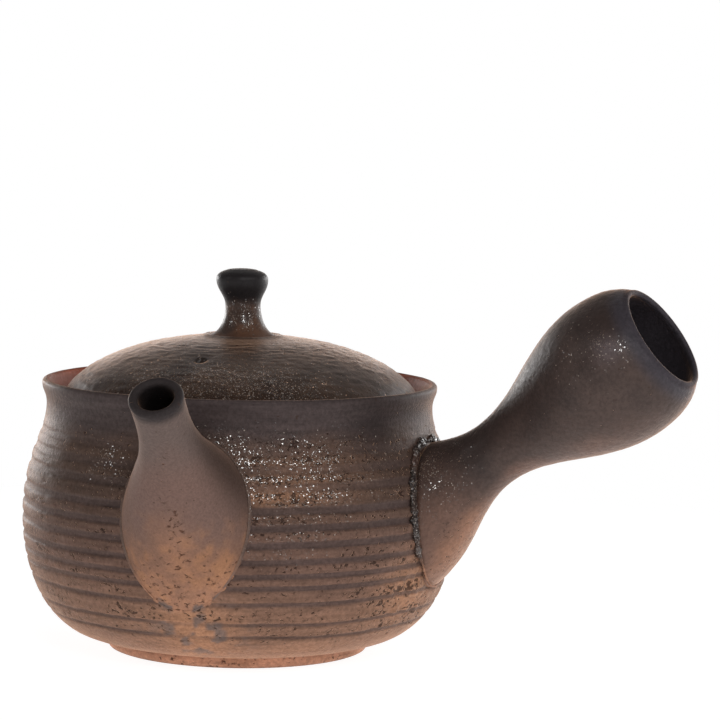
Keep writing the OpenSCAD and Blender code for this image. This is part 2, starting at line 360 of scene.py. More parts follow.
def ash_drops(tree, place, colour, ash, pale_from):
    """Drops of glass on the clay: its colour with pale drops, which are partly painted glints, the drops,
    and the way each one faces.
    """
    drops = add(tree, "TexVoronoi", {"Vector": place, "Scale": per_size(drop_size)}).outputs
    chance = add(tree, "SeparateColor", {0: drops["Color"]}).outputs
    over = add(tree, "Math", {0: ash, 1: 0.9, 2: chance["Red"]}, operation="MULTIPLY_ADD")
    there = add(tree, "MapRange", {"Value": over, 1: 1.0, 2: 1.03})
    reach = add(tree, "Math", {0: chance["Blue"], 1: 0.3, 2: 0.32}, operation="MULTIPLY_ADD")
    inside = add(tree, "Math", {0: reach, 1: drops["Distance"]}, operation="SUBTRACT")
    edge = add(tree, "MapRange", {"Value": inside, 1: 0.0, 2: 0.08})
    glass = add(tree, "Math", {0: there, 1: edge}, operation="MULTIPLY")
    lean = add(tree, "VectorMath", {0: drops["Color"], 1: (2 * drop_lean,) * 3, 2: (-drop_lean,) * 3},
               operation="MULTIPLY_ADD")
    upright = add(tree, "NewGeometry").outputs["Normal"]
    leaning = add(tree, "VectorMath", {0: upright, 1: lean}, operation="ADD")
    facing = add(tree, "VectorMath", {0: leaning}, operation="NORMALIZE")
    # pale drops: partly pale ash, partly painted glints
    pale = add(tree, "MapRange", {"Value": chance["Green"], 1: pale_from, 2: 1.0, 3: 0.0, 4: 0.8})
    pale_ash_and_painted_glint = add(tree, "Math", {0: pale, 1: glass}, operation="MULTIPLY")
    with_ash_and_painted_glints = add(tree, "Mix", {0: pale_ash_and_painted_glint, 6: colour, 7: clay("#b3a498")}, data_type="RGBA")
    return with_ash_and_painted_glints, glass, facing


print("drops of melted ash are about", drop_size, "mm apart")

# %% [markdown]
# The recipe puts the layers together. Stoneware is vitrified enough for an IOR of 1.5, and its roughness
# runs from about 0.3 on a satin skin to 0.7 on bare clay. Melted ash is a hard glass, with an IOR of 1.8.
# Fine ash lies on the clay as dust and gives the edges a narrow warm bloom, which is its sheen.

# %% Stoneware recipe
def stoneware(name, dull, polish, dusty, grain_size, grain_depth, tone, streak=0.0, pale_from=0.7,
              pit_code="#2e1e18", bare=None):
    """A fired clay finish.

    dull is the roughness, polish the strength of its reflections and dusty the bloom at its edges.
    grain_size and grain_depth are in millimetres; tone and streak say how far the grain and the
    turning streaks change the colour. Drops whose random value is over pale_from are pale, partly pale ash
    and partly painted glints; pit_code is the colour in the pits, and bare holds two colours for a piece
    that has no painted ones.
    """
    material = bpy.data.materials.new(name)
    material.use_nodes = True
    tree = material.node_tree
    place = add(tree, "TexCoord").outputs["Object"]
    ash = add(tree, "Attribute", attribute_name="ash").outputs["Fac"]
    coarse = add(tree, "Attribute", attribute_name="coarse").outputs["Fac"]
    colour, grain = grained(tree, place, painted(tree, place, bare), grain_size, tone, streak)
    colour, pit = pitted(tree, place, colour, coarse, pit_code)
    colour, glass, facing = ash_drops(tree, place, colour, ash, pale_from)

    # duller in the grain's hollows than on top, shinier under melted ash, dull where the clay stayed dry
    gloss = add(tree, "MapRange", {"Value": grain, 1: 0.3, 2: 0.7, 3: dull + 0.08, 4: dull - 0.08})
    satin = add(tree, "Math", {0: ash, 1: -0.16, 2: gloss}, operation="MULTIPLY_ADD", use_clamp=True)

    # heights in millimetres for the bump: grain up, pits down, drops up
    up = add(tree, "Math", {0: grain, 1: grain_depth}, operation="MULTIPLY")
    down = add(tree, "Math", {0: pit, 1: -0.3, 2: up}, operation="MULTIPLY_ADD")
    beaded = add(tree, "Math", {0: glass, 1: 0.08, 2: down}, operation="MULTIPLY_ADD")
    bump = add(tree, "Bump", {"Height": beaded, "Strength": 1.0, "Distance": mm})
    fill(tree, tree.nodes["Principled BSDF"], {
        "IOR": 1.5, "Specular IOR Level": polish, "Coat IOR": 1.8, "Coat Roughness": 0.14,
        "Sheen Weight": dusty, "Sheen Roughness": 0.25, "Sheen Tint": clay("#f2c3a4"),
        "Base Color": colour, "Roughness": satin, "Normal": bump,
        "Coat Weight": glass, "Coat Normal": facing})
    return material


# turned on the wheel and left dry: streaky, grainy and dull, with a warm bloom along its edges
bowl_finish = stoneware("wood_fired_stoneware_turned", 0.5, 0.08, 0.75, 0.9, 0.16, 0.18, streak=0.18)
# level under the falling ash: a satin skin on dark clay that shows the sky
lid_finish = stoneware("wood_fired_stoneware_lid", 0.33, 0.38, 1.0, 1.1, 0.12, 0.2)
# rubbed with a wet finger: fine, even and dull, so that its colours read softly
spout_finish = stoneware("wood_fired_stoneware_rubbed", 0.66, 0.1, 0.35, 0.6, 0.05, 0.12,
                         pit_code="#54362a")
# left pebbly from throwing: small lumps with a faint shine
handle_finish = stoneware("wood_fired_stoneware_pebbled", 0.45, 0.2, 0.8, 1.0, 0.12, 0.16)
# sponged smooth and sealed by smoke carbon: black, with a soft light on its top
knob_finish = stoneware("carbon_black_stoneware", 0.45, 0.2, 0.15, 0.6, 0.05, 0.14)
# squeezed-out slip that caught the ash: lumpy and dark, full of bright drops, more of them pale,
# which are partly pale ash and partly painted glints
bead_finish = stoneware("ash_glossed_slip", 0.5, 0.12, 0.1, 1.0, 0.3, 0.26, pale_from=0.5)
# clay that flame and ash did not reach: dull rust brown, a little cloudy
bare_finish = stoneware("rust_stoneware_bare", 0.7, 0.1, 0.1, 0.9, 0.12, 0.16, streak=0.08,
                        bare=("#7a5442", "#8f654f"))
print("finishes:", [m.name for m in bpy.data.materials if "stoneware" in m.name or "slip" in m.name])

# %% [markdown]
# The bowl's wall is two smooth curves that meet at the belly, then a short flare to the lip.
# The inside is the same wall moved in by its thickness.
# The steps are fine outside, where the tool marks are, and coarser inside.

# %% Bowl section
low = belly_z - foot_h
high = neck_z - belly_z
lip_r = neck_r + 1.1
lip_z = body_h - 1
lip_rise = lip_z - neck_z
wall_path = bend((base_r, foot_h), (base_r + 0.73 * (belly_r - base_r), foot_h + 0.02 * low),
                 (belly_r, belly_z - 0.4 * low), (belly_r, belly_z), 60)
wall_path += bend((belly_r, belly_z), (belly_r, belly_z + 0.55 * high),
                  (neck_r, neck_z - 0.27 * high), (neck_r, neck_z), 50)[1:]
lip_path = bend((neck_r, neck_z), (neck_r, neck_z + 0.5 * lip_rise),
                (lip_r, lip_z - 0.4 * lip_rise), (lip_r, lip_z), 12)
outside_path = wall_path + lip_path[1:]
wall_radius = reader(outside_path)
inner_path = beside(wall_path, wall) + [(lip_r - 2, lip_z)]
bowl_section = evenly([(0, foot_h), (base_r, foot_h)], 3)
bowl_section += evenly(outside_path, 0.34)[1:]
bowl_section += half_round((lip_r - 1, lip_z), 1, 8)[1:-1]
bowl_section += evenly(inner_path[::-1], 1.2)
bowl_section += evenly([inner_path[0], (0, inner_path[0][1])], 3)[1:]
print("bowl section has", len(bowl_section), "points")

# %% [markdown]
# The potter's turning tool left a dozen level grooves, each a little uneven in height and depth.
# They could be a bump texture, but light along the wall shows their edges, so they are pressed
# into the mesh. The clay between them is torn and pitted; the grooves are burnished slate grey.

# %% Bowl grooves
# each mark is a height, a depth and a width in millimetres
groove_marks = ((10.2, 0.5, 1.1), (13.7, 0.5, 1.1), (19.0, 0.6, 1.4), (23.1, 0.6, 1.6),
                (26.1, 0.6, 1.6), (29.6, 0.65, 1.7), (33.7, 0.6, 2.1), (37.8, 0.7, 2.1),
                (41.9, 0.7, 2.3), (47.2, 0.3, 2.4), (51.3, 0.25, 2.4), (55.4, 0.18, 2.2))


def groove_at(x, y, z):
    """Depth in millimetres, and share from 0 to 1, of the tool groove at a place on the wall."""
    deepest = 0.0
    share = 0.0
    for mark_z, depth, width in groove_marks:
        if abs(z - mark_z) < width:
            middle = mark_z + 0.25 * rough((x, y, mark_z), 22)
            away = abs(z - middle) / (width / 2) + 0.14 * rough((x, y, z), 2.5)
            pressed = ease(1.1 - away, 0, 0.5)
            deepest = max(deepest, depth * pressed * (0.85 + 0.3 * rough((x, y, mark_z + 40), 14)))
            share = max(share, pressed * min(1, depth / 0.45))
    return deepest, share


print("the bowl has", len(groove_marks), "tool grooves, the deepest", max(m[1] for m in groove_marks), "mm")

# %% [markdown]
# The kiln coloured the bowl. Its lower half fired tan, the upper half brown and the neck slate grey,
# and the tan and the rust round the bottom are partly painted bounce light from the table.
# Two sides are painted darker, a painted shade beside the spout and by the handle.
# The clay flushed rust under the spout and by the handle, and flying ash melted on the shoulder between
# them;
# a wide rust patch there is partly a painted highlight. Each of these is a soft patch with its middle on the
# wall.

# %% Bowl colours
slate, umber, brown, tan, rust = (
    clay(code) for code in ("#463c3b", "#58443a", "#6b5247", "#806150", "#a2775c"))
painted_shade_brown, painted_shade_black = clay("#3f332d"), clay("#2c2525")
groove_slate, inside_rust, blotch_grey = clay("#483d3c"), clay("#8f4429"), clay("#5b5656")
spout_foot = (14.5, -50, 10)
# two patches of painted shade, then rust patches on the shoulder, the wider one partly a painted highlight
painted_shade_patches = ((0.6, (-14, -52, 46), (24, 18, 13)), (0.6, (52, -14, 53), (11, 12, 14)))
rust_and_highlight_patches = ((0.55, (30, -43, 45.5), (13, 13, 2.5)), (0.3, (37, -38, 50), (15, 15, 6)))
ash_patches = ((1.2, (40, -35, 51), (19, 19, 8)), (0.9, (25, -46, 50), (8, 8, 8)),
               (0.8, (17, -47, 57), (5, 5, 4)), (0.6, (-8, -52, 51), (9, 9, 5)),
               (0.6, (32, -42, 37), (17, 15, 8)))


def bowl_colour(point, share, right, smeared):
    """The colour at a place on the outer wall: fired colour, painted shade and some painted light."""
    x, y, z = point
    drift = 5 * rough(point, 17)
    # tan low down, partly painted bounce light from the table, then brown and slate grey up to the neck
    colour = tan.lerp(brown, ease(z + drift, 13, 30))
    colour = colour.lerp(umber, ease(z + drift, 32, 50))
    colour = colour.lerp(slate, ease(z + 0.4 * drift, 54, 61))
    # painted shade on two sides, and darker still high on the neck by the handle
    colour = colour.lerp(painted_shade_brown, min(0.9, patches(point, painted_shade_patches)))
    colour = colour.lerp(painted_shade_black, 0.8 * patch(point, (46, -17, 61), (9, 9, 8)))
    under_spout = patch((x, y), spout_foot[:2], (9, 12))
    # rust under the spout, on the smear, round the bottom and on the shoulder; round the bottom it is partly
    # painted bounce light
    blush = 1.1 * under_spout * (1 - ease(z + 0.5 * drift, 14, 26)) + 0.9 * smeared
    blush += 0.6 * (1 - ease(z + 0.6 * drift, 3, 11)) + patches(point, rust_and_highlight_patches)
    colour = colour.lerp(rust, min(1, blush))
    colour = colour.lerp(groove_slate, (0.5 + 0.2 * right) * share)
    blotch = ease(rough(point, 3.6), 0.22, 0.4) * patch(point, spout_foot, (9, 12, 8))
    return colour.lerp(blotch_grey, min(0.7, 1.2 * blotch))


# the patches counted as smoke are painted shade
print("patches of ash on the bowl:", len(ash_patches), "and of smoke:", len(painted_shade_patches))

# %% Bowl marks
bowl_mesh = spun(bowl_section, 320)
fired, ash, coarse = coats(bowl_mesh)
lean = Vector((-0.44, -0.22, 0)) * mm
for vert in bowl_mesh.verts:
    x, y, z = point = vert.co / mm
    r = math.hypot(x, y)
    sunk = 0.0
    colour = rust
    if z > foot_h + 0.2 and r > wall_radius(z) - 1:
        depth, share = groove_at(x, y, z)
        # right is the side by the handle; the tool pressed harder there, and high up on the other side
        right = ease((0.82 * x - 0.57 * y) / r, -0.2, 0.8)
        worn = 1 - 0.7 * patch(point, spout_foot, (9, 12, 9))
        depth *= (0.6 + 0.25 * right + 0.6 * (1 - right) * ease(z, 43, 46)) * worn
        share *= worn
        ridge = (1 - share) * ease(z, 6, 11) * (1 - ease(z, 56, 62))
        ridge *= 1 - 0.7 * (1 - right) * ease(z, 40, 48)
        # clay torn and smeared below the handle
        smeared = patch(point, (53, -8, 20), (14, 12, 9))
        torn = max(0, rough(point, 2.0) - 0.05) * ridge
        torn += 3.0 * (1 + rough((x, y, 0.6 * z), 2.6)) * smeared
        sunk = depth * (1 - 0.5 * smeared) + 0.28 * torn + 0.06 * (1 + rough(point, 9))
        colour = bowl_colour(point, share, right, smeared)
        melted = 1.3 * patches(point, ash_patches) * (0.85 + 0.7 * rough((x, y, 1.5 * z), 6)) - 0.14
        vert[ash] = min(1, max(0, melted)) * (1 - 0.95 * share)
        open_clay = min(1.1, 0.62 + 0.7 * rough((x, y, 2 * z), 9) + 0.3 * vert[ash])
        vert[coarse] = ridge * open_clay + 0.55 * smeared
    elif z > foot_h + 1 and r < wall_radius(z) - 1:
        sunk = 0.1 * (1 + math.sin(z * 1.7 + 0.5 * rough((x, y, 0), 30)))
        colour = inside_rust.lerp(brown, 0.4 * ease(seat_z - z, 4, 30))
    vert[fired] = colour
    vert.co -= vert.normal * sunk * mm
    vert.co += lean * ease(z, 25, 68)
print("the bowl's mesh has", len(bowl_mesh.verts), "points")

# %% [markdown]
# The tea leaves the bowl through a hole behind the spout, covered inside by the clay strainer.
# Faces inside its outline are taken out of both walls, and the two ragged loops are bridged.
# The spout and the strainer hide the edge, so it needs no finer cut.

# %% Tea hole
spout_bearing = math.radians(-74.5)
hole_r = 9
hole_middle = Vector((0, 0, 40 * mm))
hole_way = Vector((math.cos(spout_bearing), math.sin(spout_bearing), 0))


def in_hole(point):
    """Whether a point lies inside the tea hole's round outline, on the spout's side."""
    rest = point - hole_middle
    return rest.dot(hole_way) > 0 and (rest - rest.dot(hole_way) * hole_way).length < hole_r * mm


cut_faces = [f for f in bowl_mesh.faces if in_hole(f.calc_center_median())]
bmesh.ops.delete(bowl_mesh, geom=cut_faces, context="FACES")
hole_edges = [e for e in bowl_mesh.edges if e.is_boundary]
bmesh.ops.bridge_loops(bowl_mesh, edges=hole_edges)
finish_piece(bowl_mesh, "bowl_thrown", "pot", ["bowl"], bowl_finish)

# %% [markdown]
# The foot is a low ring, trimmed when the bowl was leather-hard and wiped with a wet finger.

# %% Foot ring
foot_in = foot_top_r - 8.4
outer_round = bend((foot_top_r, foot_h), (foot_top_r, 1.6), (foot_top_r - 0.1, 0), (foot_top_r - 1.5, 0), 16)
inner_round = bend((foot_in + 1.5, 0), (foot_in + 0.3, 0), (foot_in, 1.2), (foot_in, foot_h), 12)
foot_section = evenly(outer_round, 0.35)
foot_section += evenly([outer_round[-1], inner_round[0]], 0.8)[1:-1]
foot_section += evenly(inner_round, 0.5)
foot_section += evenly([(foot_in, foot_h), (foot_top_r, foot_h)], 1.4)[1:-1]
foot_mesh = spun(foot_section, 260, closed=True)
fired, ash, coarse = coats(foot_mesh)
for vert in foot_mesh.verts:
    point = vert.co / mm
    drift = rough(point, 9)
    # light tan, partly painted bounce light from the table, and darker along the bottom edge, a painted
    # contact shadow
    colour = clay("#bb8d74").lerp(clay("#a37a62"), ease(drift, -0.3, 0.6))
    vert[fired] = colour.lerp(clay("#5a4338"), 0.6 * (1 - ease(point.z, 0, 0.5)))
    vert[coarse] = 0.6 + 0.4 * drift
    if 0.3 < point.z < foot_h - 0.2:
        vert.co -= vert.normal * (0.1 + 0.08 * rough(point, 4)) * mm
finish_piece(foot_mesh, "foot_ring_trimmed", "pot", ["foot_ring"], bowl_finish)

# %% [markdown]
# The spout and the handle are tubes whose inner ends are cut to the bowl's curved wall.
# A boolean cut would leave long thin faces there. Instead a plain sleeve is spun with numbered rings,
# and each ring is laid along the tube so that the first and last ones end exactly on the wall.

# %% Tubes that end on the wall
def meets_wall(turn, radius_at, angle, sink):
    """How far along a tube's axis its side comes out of the bowl's wall, sunk a little into it."""
    low, high = -26.0, 20.0
    for _ in range(30):
        middle = (low + high) / 2
        r = radius_at(middle)
        point = turn @ Vector((r * math.cos(angle), r * math.sin(angle), middle))
        if math.hypot(point.x, point.y) < wall_radius(point.z) - sink:
            low = middle
        else:
            high = middle
    return high


def sleeve(outside, inside, edge, turn, counts, steps, sink):
    """A tube with a round mouth: its mesh, and each point's side, angle, way along and way off the wall."""
    out_count, in_count = counts
    mesh = spun([(10, i) for i in range(out_count + len(edge) + in_count)], steps, closed=True)
    facts = {}
    ends = {}
    for vert in mesh.verts:
        angle = math.atan2(vert.co.y, vert.co.x)
        ring = round(vert.co.z / mm)
        key = round(angle, 4)
        if key not in ends:
            ends[key] = (meets_wall(turn, outside, angle, sink),
                         meets_wall(turn, inside, angle, sink + 0.4))
        start, back = ends[key]
        if ring < out_count:
            along = start + (edge[0][1] - start) * ring / out_count
            r = outside(along)
            side = "out"
        elif ring < out_count + len(edge):
            r, along = edge[ring - out_count]
            side = "edge"
        else:
            share = (ring - out_count - len(edge) + 1) / in_count
            along = edge[-1][1] + (back - edge[-1][1]) * share
            r = inside(along)
            side = "in"
        facts[vert] = (side, angle, along, along - start)
        vert.co = Vector((r * math.cos(angle), r * math.sin(angle), along)) * mm
    bmesh.ops.recalc_face_normals(mesh, faces=mesh.faces)
    mesh.normal_update()
    return mesh, facts


def in_place(turn):
    """A placing given in millimetres, as a matrix for metres."""
    moved = turn.copy()
    moved.translation = turn.translation * mm
    return moved


print("at the belly a tube is cut to a wall", round(wall_radius(belly_z), 1), "mm from the axis")

# %% [markdown]
# The spout was thrown as a tall cone, rubbed smooth with a wet finger and cut across at its tip.
# The cut is flatter than square, so the last rings of the tube lean over after it is shaped.

# %% Spout
spout_z = 45.6
spout_shift = -1.2
spout_rise = 42
tip_tilt = math.tan(math.radians(9))
bore_r = 4.2
spout_wall = 2.4
spout_turn = (Matrix.Rotation(spout_bearing, 4, "Z")
              @ Matrix.Translation((wall_radius(spout_z), spout_shift, spout_z))
              @ Matrix.Rotation(math.radians(90 - spout_rise), 4, "Y"))
spout_path = [(20.2, -28)] + bend((20.2, -20), (12.0, 15.4), (5.3, 10.1), (6.4, 37.9), 60)
spout_outside = reader(spout_path)
spout_edge = half_round((5.3, 37.9), 1.1, 10)


def spout_inside(along):
    """The spout's inner radius: a bore at the tip, then a wall's thickness inside the outside."""
    return max(bore_r, spout_outside(along) - spout_wall)


spout_mesh, spout_facts = sleeve(spout_outside, spout_inside, spout_edge, spout_turn,
                                 (110, 40), 200, 0.9)
for vert, (side, angle, along, up) in spout_facts.items():
    x, y, u = point = vert.co / mm
    if side == "out":
        vert.co -= vert.normal * (0.08 + 0.06 * rough(point, 5)) * mm
    vert.co.z += x * tip_tilt * ease(u, 29, 38) * mm
spout_mesh.transform(in_place(spout_turn))
spout_mesh.normal_update()
print("the spout's tip stands", round(max(v.co.z for v in spout_mesh.verts) / mm, 1), "mm high")

# %% [markdown]
# The spout fired pinkish brown, greyer to the tip and rust orange at its foot, where it is mottled.
# A trail of dark iron specks runs down its front, and its side towards the handle is painted darker,
# a painted shade. The bore is painted near black, a painted shade as well.
# The colours follow the height above the table, and the marks follow the angle round the tube.

# %% Spout colours
fired, ash, coarse = coats(spout_mesh)
lip_black, spout_grey, spout_pink = clay("#332d2d"), clay("#61534e"), clay("#6f5850")
spout_tan, spout_rust, bore_painted_shade = clay("#7f5e4d"), clay("#a87b62"), clay("#1e1a1b")
mottle_orange, mottle_brown, shade_brown = clay("#b07c55"), clay("#6f5548"), clay("#41332d")
for vert, (side, angle, along, up) in spout_facts.items():
    point = vert.co / mm
    z = point.z
    on_tube = (math.degrees(angle), along)
    drift = rough(point, 11)
    mottle = 0.6 * rough(point, 8) + 0.6 * rough(point, 2.5)
    low_part = 1 - ease(z, 30, 46)
    colour = spout_rust.lerp(spout_tan, ease(z + 5 * drift, 16, 30))
    colour = colour.lerp(spout_pink, ease(z + 5 * drift, 28, 44))
    colour = colour.lerp(mottle_orange, 0.4 * low_part * ease(mottle, -0.2, 0.6))
    colour = colour.lerp(mottle_brown, 0.4 * low_part * ease(mottle, 0.1, -0.6))
    colour = colour.lerp(spout_grey, ease(z + 3 * drift, 48, 62))
    colour = colour.lerp(spout_rust, 0.35 * patch(on_tube, (0, -2), (18, 8)))
    # painted shade down the side towards the handle
    colour = colour.lerp(shade_brown, 0.9 * patch(on_tube, (98, 8), (34, 20)))
    blotch = ease(rough(point, 3.6), 0.22, 0.4) * (1 - ease(z, 18, 24))
    colour = colour.lerp(blotch_grey, 0.8 * blotch)
    if side == "out":
        colour = colour.lerp(lip_black, ease(along, 34.5, 37.5))
        vert[coarse] = max(0.8 * patch(on_tube, (3, 3), (15, 20)), 0.72 * (1 - ease(z, 22, 40)))
    else:
        # the lip is dark grey, and the bore is painted near black: a painted shade
        colour = lip_black if side == "edge" else bore_painted_shade
    vert[fired] = colour
finish_piece(spout_mesh, "spout_rubbed", "pot", ["spout"], spout_finish)

# %% [markdown]
# The handle is a hollow trumpet: a wide foot on the bowl, a slim neck, then a bulb with an open end.
# The hollow keeps it cool to hold. Its skin is pebbly, and a knife cut runs round its foot, except below.

# %% Handle
handle_z = 43.3
handle_shift = 5.5
handle_rise = 36
handle_end = 69.2
handle_turn = (Matrix.Translation((wall_radius(handle_z), handle_shift, handle_z))
               @ Matrix.Rotation(math.radians(90 - handle_rise), 4, "Y"))


def handle_path(base, neck, bulb, mouth, bulge):
    """The handle's section from its buried foot to its open end."""
    path = [(base, -26)] + bend((base, -20), (base, -2), (neck, 3.5), (neck, 17.5), 40)
    path += bend((neck, 17.5), (neck, 30.5), (bulb, 41.3), (bulb, 55.3), 40)[1:]
    return path + bend((bulb, 55.3), (bulb, 62.9), (mouth + bulge, 67.1), (mouth, handle_end), 20)[1:]


handle_outside = reader(handle_path(18.8, 8.2, 18.4, 13.8, 2.6))
handle_inside = reader(handle_path(16.4, 5.8, 16.0, 12.2, 2.0))
handle_edge = half_round((13.0, handle_end), 0.8, 8)
handle_mesh, handle_facts = sleeve(handle_outside, handle_inside, handle_edge, handle_turn,
                                   (150, 60), 220, 0.9)
for vert, (side, angle, along, up) in handle_facts.items():
    if side == "out":
        point = vert.co / mm
        pebbles = 0.05 * (1 + rough(point, 1.7)) + 0.10 * (1 + rough(point, 12))
        cut = 1.1 * math.exp(-(up / 1.1) ** 2) * (1 - ease(math.cos(angle), 0.75, 0.98))
        vert.co -= vert.normal * (pebbles * ease(handle_end - point.z, 0, 3) + cut) * mm
handle_mesh.transform(in_place(handle_turn))
handle_mesh.normal_update()
print("the handle reaches", round(max(v.co.x for v in handle_mesh.verts) / mm, 1), "mm from the pot's axis")

# %% [markdown]
# The handle fired dark brown, warmer on its underside, rust at its foot and nearly black inside.
# Its lighter, warmer underside and the rust at its foot's lower edge are partly painted bounce light and rim
# light.
# A little ash melted on its foot and on the bulb near the open end, where a pale grey patch is a painted
# highlight.
# The rim and the hollow stayed dry, which the negative ash value gives, so no bright line runs round the
# mouth.

# %% Handle colours
fired, ash, coarse = coats(handle_mesh)
handle_dark, handle_brown, handle_warm_and_bounce_light = clay("#372c29"), clay("#483a35"), clay("#7d5c4d")
handle_rust_and_rim_light, mouth_dark, painted_highlight_grey = clay("#8f664f"), clay("#3a353a"), clay("#6d6264")
handle_ash = ((0.9, (-108, 5), (34, 8)), (0.2, (-108, 57), (24, 8)), (1.1, (-99, 63), (10, 3)))
for vert, (side, angle, along, up) in handle_facts.items():
    point = vert.co / mm
    on_tube = (math.degrees(angle), along)
    drift = rough(point, 12)
    under = math.cos(angle) + 0.2 * drift
    foot_end = 1 - ease(along, 0, 16)
    # lighter and warmer underneath, rust at the foot's lower edge: partly fired colour, partly painted
    # bounce light and rim light
    below = 0.9 * ease(under, 0.6, 1.3) * (1 - 0.75 * ease(along, 42, 58))
    colour = handle_dark.lerp(handle_brown, ease(under + drift, -0.9, 0.7))
    colour = colour.lerp(handle_warm_and_bounce_light, max(below, 0.5 * foot_end * ease(under, -0.7, 0.5)))
    colour = colour.lerp(handle_rust_and_rim_light, ease(under, 0.6, 1.15) ** 1.3 * foot_end)
    # a painted highlight on the bulb near the open end
    colour = colour.lerp(painted_highlight_grey, 0.55 * patch(on_tube, (-98, 63), (10, 3.2)))
    if side == "out":
        vert[fired] = colour.lerp(mouth_dark, ease(along, 65, 68.5))
        vert[ash] = min(1, patches(on_tube, handle_ash) * (0.8 + 0.6 * rough(point, 4)))
        vert[coarse] = 0.5 * ease(under, 0.3, 0.9) * (1 - ease(along, 4, 14))
    else:
        vert[fired] = mouth_dark
        vert[ash] = -2.0
finish_piece(handle_mesh, "handle_thrown", "pot", ["handle"], handle_finish)

# %% [markdown]
# Slip holds the spout and the handle on. Round the handle it squeezed out and stayed as a crumbly bead,
# where flying ash stuck and melted; round the spout it was wiped into a smooth fillet.
# Each is a spun ring of clay whose section is carried along the line where tube and bowl meet.

# %% Lines of the joints
def joint_at(turn, outside, angle):
    """The place where tube and wall meet, and the ways off the tube, along it and out of the wall."""
    along = meets_wall(turn, outside, angle, 0.05)
    spots = []
    for u in (along, along + 0.5):
        r = outside(u)
        spots.append(turn @ Vector((r * math.cos(angle), r * math.sin(angle), u)))
    joint = spots[0]
    up_tube = (spots[1] - joint).normalized()
    slope = wall_radius(joint.z + 0.5) - wall_radius(joint.z - 0.5)
    off_wall = Vector((joint.x, joint.y, -slope * math.hypot(joint.x, joint.y))).normalized()
    off_tube = turn.to_3x3() @ Vector((math.cos(angle), math.sin(angle), 0))
    off_tube = (off_tube - off_tube.dot(off_wall) * off_wall).normalized()
    return joint, off_tube, up_tube, off_wall


def ring_of_clay(steps):
    """A thin spun ring, with each point's angle round the tube and round the section."""
    mesh = spun(half_round((20, 0), 1, 16, 0, 360)[:-1], steps, closed=True)
    facts = {}
    for vert in mesh.verts:
        x, y, z = vert.co / mm
        facts[vert] = (math.atan2(y, x), math.atan2(z, math.hypot(x, y) - 20))
    return mesh, facts


lowest = joint_at(handle_turn, handle_outside, 0)[0]
print("the handle's joint comes down to", round(lowest.z, 1), "mm above the table")

# %% Handle bead
bead_dark, bead_brown = clay("#2f2725"), clay("#4a3831")
bead_mesh, bead_facts = ring_of_clay(360)
fired, ash, coarse = coats(bead_mesh)
for vert, (angle, around) in bead_facts.items():
    joint, off_tube, up_tube, off_wall = joint_at(handle_turn, handle_outside, angle)
    degrees = abs(math.degrees(angle))
    # thin underneath and on top, thick and lumpy at the sides
    thick = 0.3 + 0.6 * ease(degrees, 38, 55) * (1 - ease(degrees, 165, 175))
    thick *= 1 + 0.4 * rough(joint, 2.0)
    section = thick * (1.15 * math.cos(around) * off_tube + 0.6 * math.sin(around) * off_wall)
    point = joint + 1.3 * thick * off_tube + section
    point += (0.45 * rough(point, 1.1) + 0.25 * rough(point, 0.6)) * thick * section.normalized()
    vert.co = point * mm
    colour = bead_dark.lerp(bead_brown, ease(rough(joint, 6), -0.1, 0.7))
    vert[fired] = colour.lerp(handle_rust_and_rim_light, 1 - ease(degrees, 30, 52))
    vert[ash] = ease(thick, 0.35, 0.7)
    vert[coarse] = 0.5
bead_mesh.normal_update()
finish_piece(bead_mesh, "handle_slip_bead", "pot", ["handle_seam"], bead_finish)

# %% Spout fillet
fillet_dark, fillet_brown = clay("#5d4c45"), clay("#6b574d")
fillet_mesh, fillet_facts = ring_of_clay(300)
fired, ash, coarse = coats(fillet_mesh)
for vert, (angle, around) in fillet_facts.items():
    joint, off_tube, up_tube, off_wall = joint_at(spout_turn, spout_outside, angle)
    below = ease(math.cos(angle), 0.55, 0.98)
    leg = 0.5 - 0.3 * below
    # the upper half of the section is the hollow face, the lower half lies buried in the joint
    share = around / math.pi if around >= 0 else 1 + around / math.pi
    if around >= 0:
        point = joint + leg * ((1 - share) ** 2 * off_tube + share ** 2 * up_tube)
    else:
        point = joint + 0.97 * leg * ((1 - share) * off_tube + share * up_tube) - 0.5 * off_wall
    vert.co = point * mm
    colour = fillet_dark.lerp(fillet_brown, share).lerp(spout_rust, below)
    vert[fired] = colour.lerp(blotch_grey, 0.8 * ease(rough(point, 3.6), 0.22, 0.4) * below)
    vert[ash] = 0.8 * patch((math.degrees(angle),), (115,), (35,))
    vert[coarse] = 0.5 * below
fillet_mesh.normal_update()
finish_piece(fillet_mesh, "spout_slip_fillet", "pot", ["spout_seam"], spout_finish)

# %% [markdown]
# The lid is a shallow dome that sits inside the rim on a ledge.
# It was turned upside down, so fine rings run round it, broken up like bark.

# %% Lid section
hollow_r = 37.4
edge_z = seat_z + 1.8
dome_path = bend((knob_foot_r, dome_z), (0.58 * lid_r, dome_z - 0.4), (0.91 * lid_r, dome_z - 6.7),
                 (lid_r, edge_z), 60)
under_path = [p for p in beside(dome_path, -wall) if p[0] < hollow_r - 0.2]
lid_edge = bend((lid_r, edge_z), (lid_r, seat_z + 0.4), (lid_r - 0.2, seat_z), (lid_r - 0.8, seat_z), 8)
lid_section = evenly([(0, dome_z), (knob_foot_r, dome_z)], 3)
lid_section += evenly(dome_path, 0.36)[1:] + lid_edge[1:]
lid_section += evenly([(lid_r - 0.8, seat_z), (hollow_r, seat_z)], 0.9)[1:]
lid_section += evenly([(hollow_r, seat_z), (hollow_r, under_path[-1][1])], 0.9)[1:]
lid_section += evenly(under_path[::-1], 0.9) + evenly([under_path[0], (0, dome_z - wall)], 2)[1:]
lid_mesh = spun(lid_section, 320)
print("the lid's section has", len(lid_section), "points")

